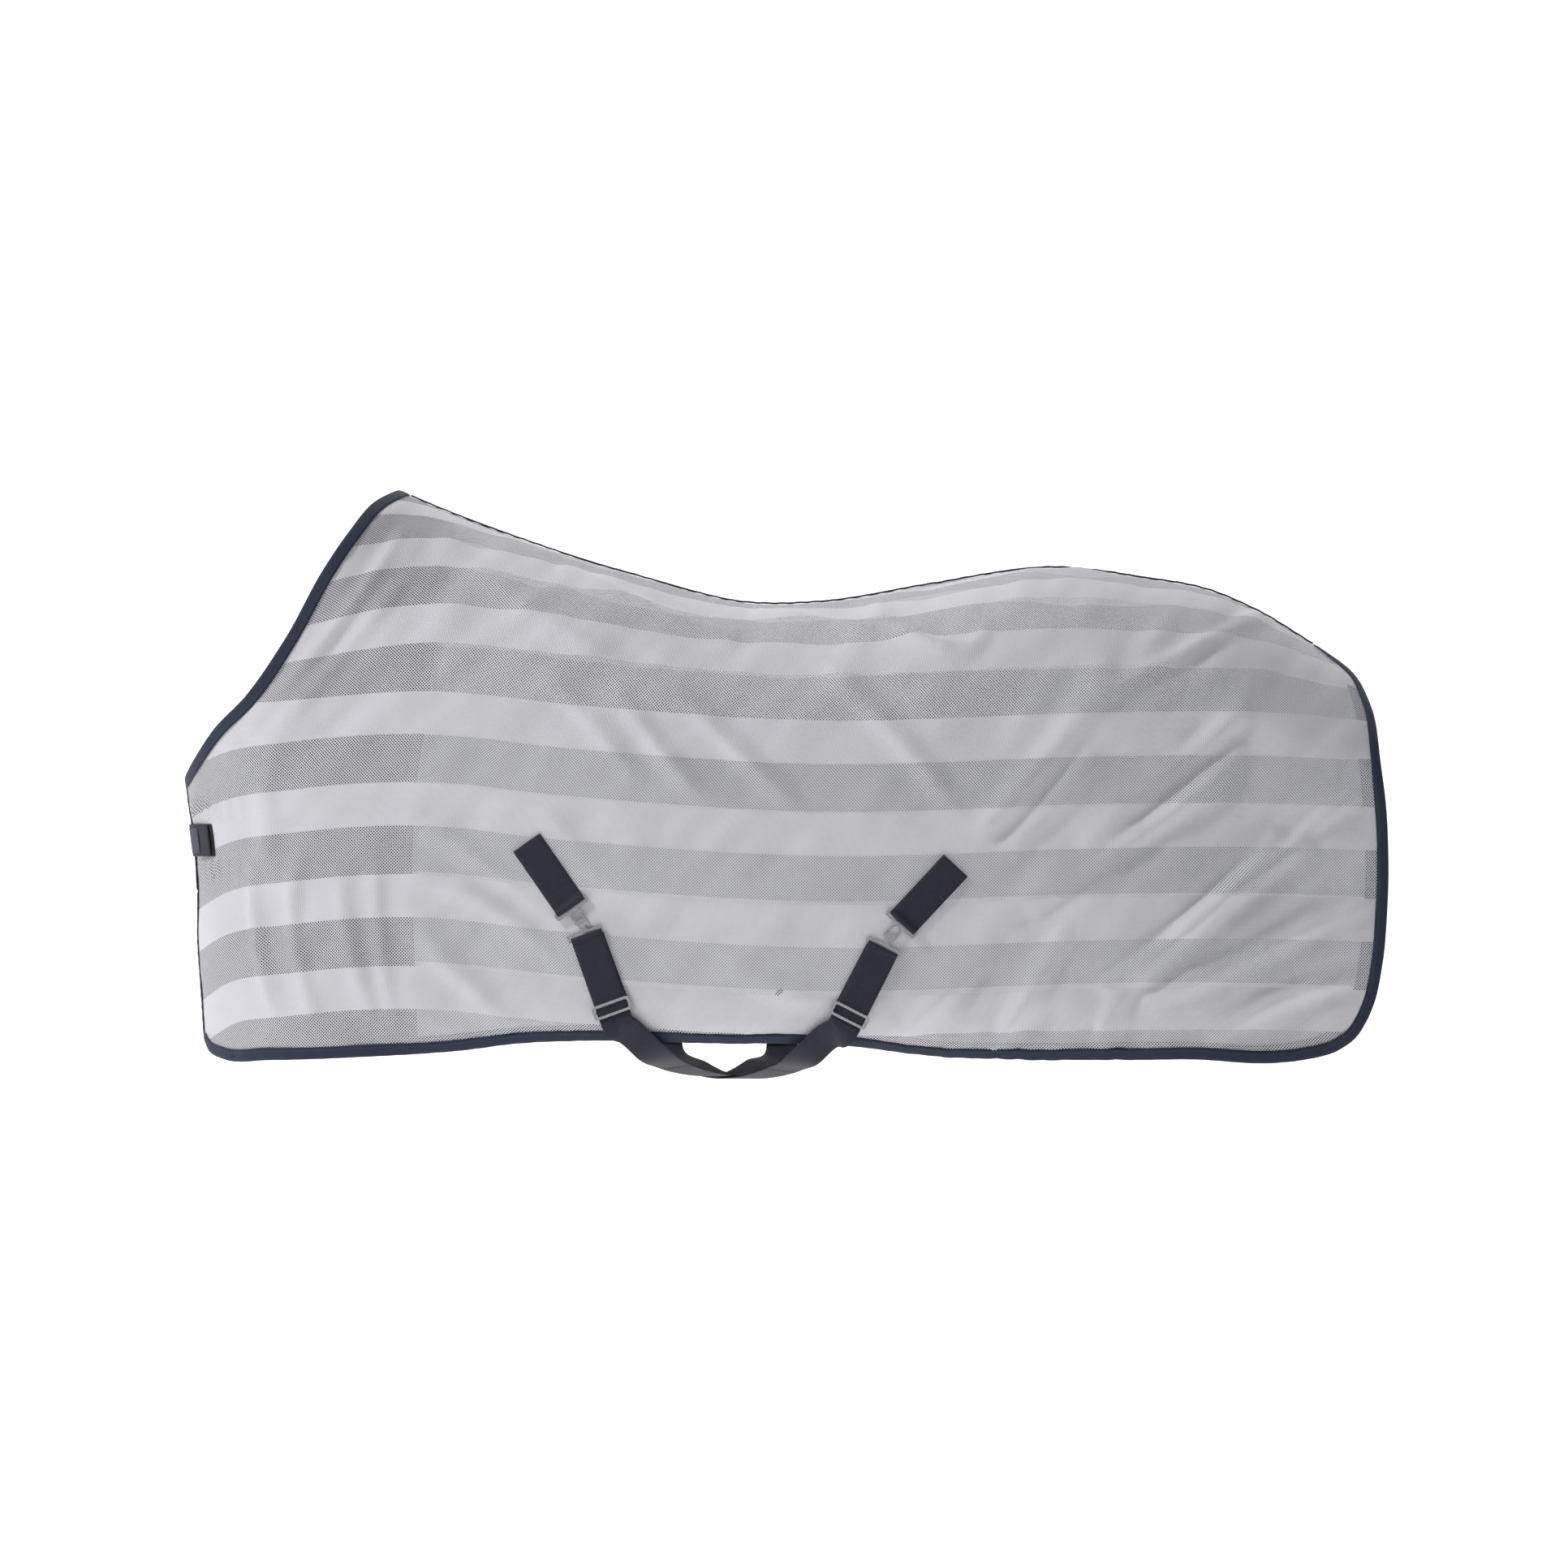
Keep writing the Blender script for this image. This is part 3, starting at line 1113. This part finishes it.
def make_belly_strap(word, start, far):
    points = belly_path(word, start, far)
    course = smooth(np.array([np.concatenate(p) for p in points]), 10, places=3)
    centres, outs = course[:, :3], course[:, 3:]
    at = lengths(centres)
    cut = np.interp(STRAP_CUT_Y, centres[:, 1], at)
    for name, body, low, high, count in (("near", f"{word}_hook", 0.0, cut - 0.0002, 40),
                                         ("far", "root", cut + 0.0002, at[-1], 110)):
        where = np.linspace(low, high, count)
        course = pick(centres, at, where), pick(outs, at, where)
        strap = ribbon(f"{word}_belly_webbing_{name}", *course, start=low)
        declare(strap, "webbing", body, f"{word}_belly_strap_{name}")


def make_surcingles():
    frames = {word: make_strap(word, data) for word, data in STRAPS.items()}
    for word in STRAPS:
        make_belly_strap(word, frames[word]["end"], frames[PARTNER[word]]["sewn"])
        for piece in ("receiver", "t_hook", "slider"):
            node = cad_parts[f"{word}_{piece}"]
            node.data.materials.clear()
            node.data.materials.append(METAL)


# ---- camera, light and floor


def make_studio():
    """A pale floor that curves up into a backdrop, soft light, and the camera square to the left side."""
    floor_z, near, far, radius = -1.46, -9.5, 3.2, 1.2
    profile = [(near, floor_z), (far - radius, floor_z)]
    profile += [(far - radius + radius * sin(t), floor_z + radius - radius * cos(t))
                for t in np.linspace(0, pi / 2, 16)]
    profile.append((far, 6.0))
    vertices = [(x, y, z) for y, z in profile for x in (-9.0, 9.0)]
    faces = [(2 * k, 2 * k + 1, 2 * k + 3, 2 * k + 2) for k in range(len(profile) - 1)]
    white = Graph("studio_white", (0.90, 0.90, 0.90), 0.9)
    white.shader.inputs["Emission Color"].default_value = (1, 1, 1, 1)
    white.shader.inputs["Emission Strength"].default_value = 0.55
    floor = new_object("studio_floor", vertices, faces, None, white.material)
    world = bpy.data.worlds.new("studio")
    bpy.context.scene.world = world
    world.use_nodes = True
    background = world.node_tree.nodes["Background"]
    background.inputs["Color"].default_value = (1.0, 1.0, 1.0, 1)
    background.inputs["Strength"].default_value = 0.17
    lights = (("key", (-4.6, -2.3, 4.2), 285, 0.9), ("fill", (3.0, -6.0, 2.0), 14, 3.0),
              ("top", (0.6, -0.2, 4.4), 45, 2.0))
    for name, place, energy, size in lights:
        light = bpy.data.lights.new(name, "AREA")
        light.energy = energy
        light.size = size
        lamp = bpy.data.objects.new(name, light)
        bpy.context.scene.collection.objects.link(lamp)
        lamp.location = place
        lamp.rotation_euler = (Vector((0, 0, -0.3)) - Vector(place)).to_track_quat("-Z", "Y").to_euler()
    camera = bpy.data.cameras.new("camera")
    camera.sensor_width = 36.0
    distance, width = 22.0, 2.415
    camera.lens = 36.0 * distance / width
    camera.clip_end = 60
    viewer = bpy.data.objects.new("camera", camera)
    bpy.context.scene.collection.objects.link(viewer)
    aim = Vector((0.0325, -0.24, -0.280))
    viewer.location = aim + Vector((0, -distance, 0))
    viewer.rotation_euler = (aim - viewer.location).to_track_quat("-Z", "Y").to_euler()
    bpy.context.scene.camera = viewer
    bpy.context.scene.view_settings.view_transform = "Standard"


make_studio()
NETS = make_cloth(plan_cloth())
make_spine_tape()
make_closure()
make_surcingles()
